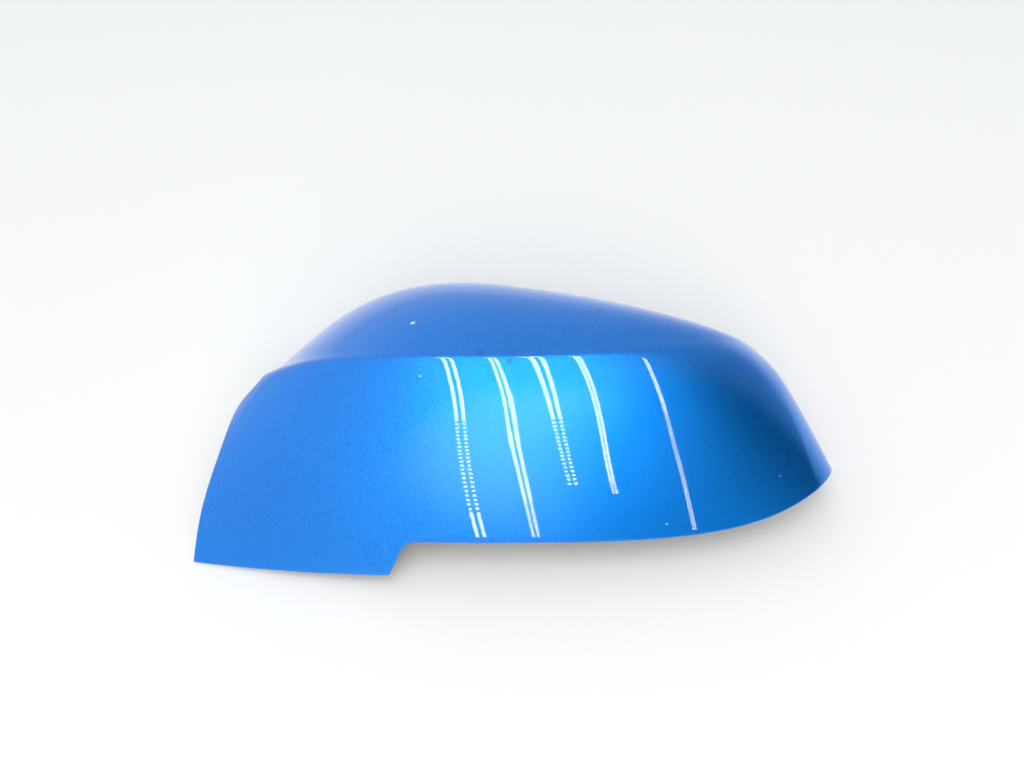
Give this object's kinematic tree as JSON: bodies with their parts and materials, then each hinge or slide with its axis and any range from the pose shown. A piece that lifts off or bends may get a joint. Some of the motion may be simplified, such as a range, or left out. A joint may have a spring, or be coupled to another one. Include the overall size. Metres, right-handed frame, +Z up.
{
  "type": "wing mirror cover",
  "caption": "Painted wing mirror cover: thin doubly curved moulded shell with a crease between roof and front, a stepped lower edge, and snap hooks and locating pegs inside.",
  "frame": {"origin": "centre of the bounding box at its bottom, on the table that the cover lies on with its open side down", "axes": "+X outboard towards the pointed tip, +Y towards the roof side, +Z up out of the closed side"},
  "size_m": [0.2428, 0.1265, 0.0665],
  "materials": {
    "painted_plastic": "metallic paint under clear lacquer"
  },
  "bodies": {
    "root": {"mirror_cover": "painted_plastic"}
  },
  "joints": []
}
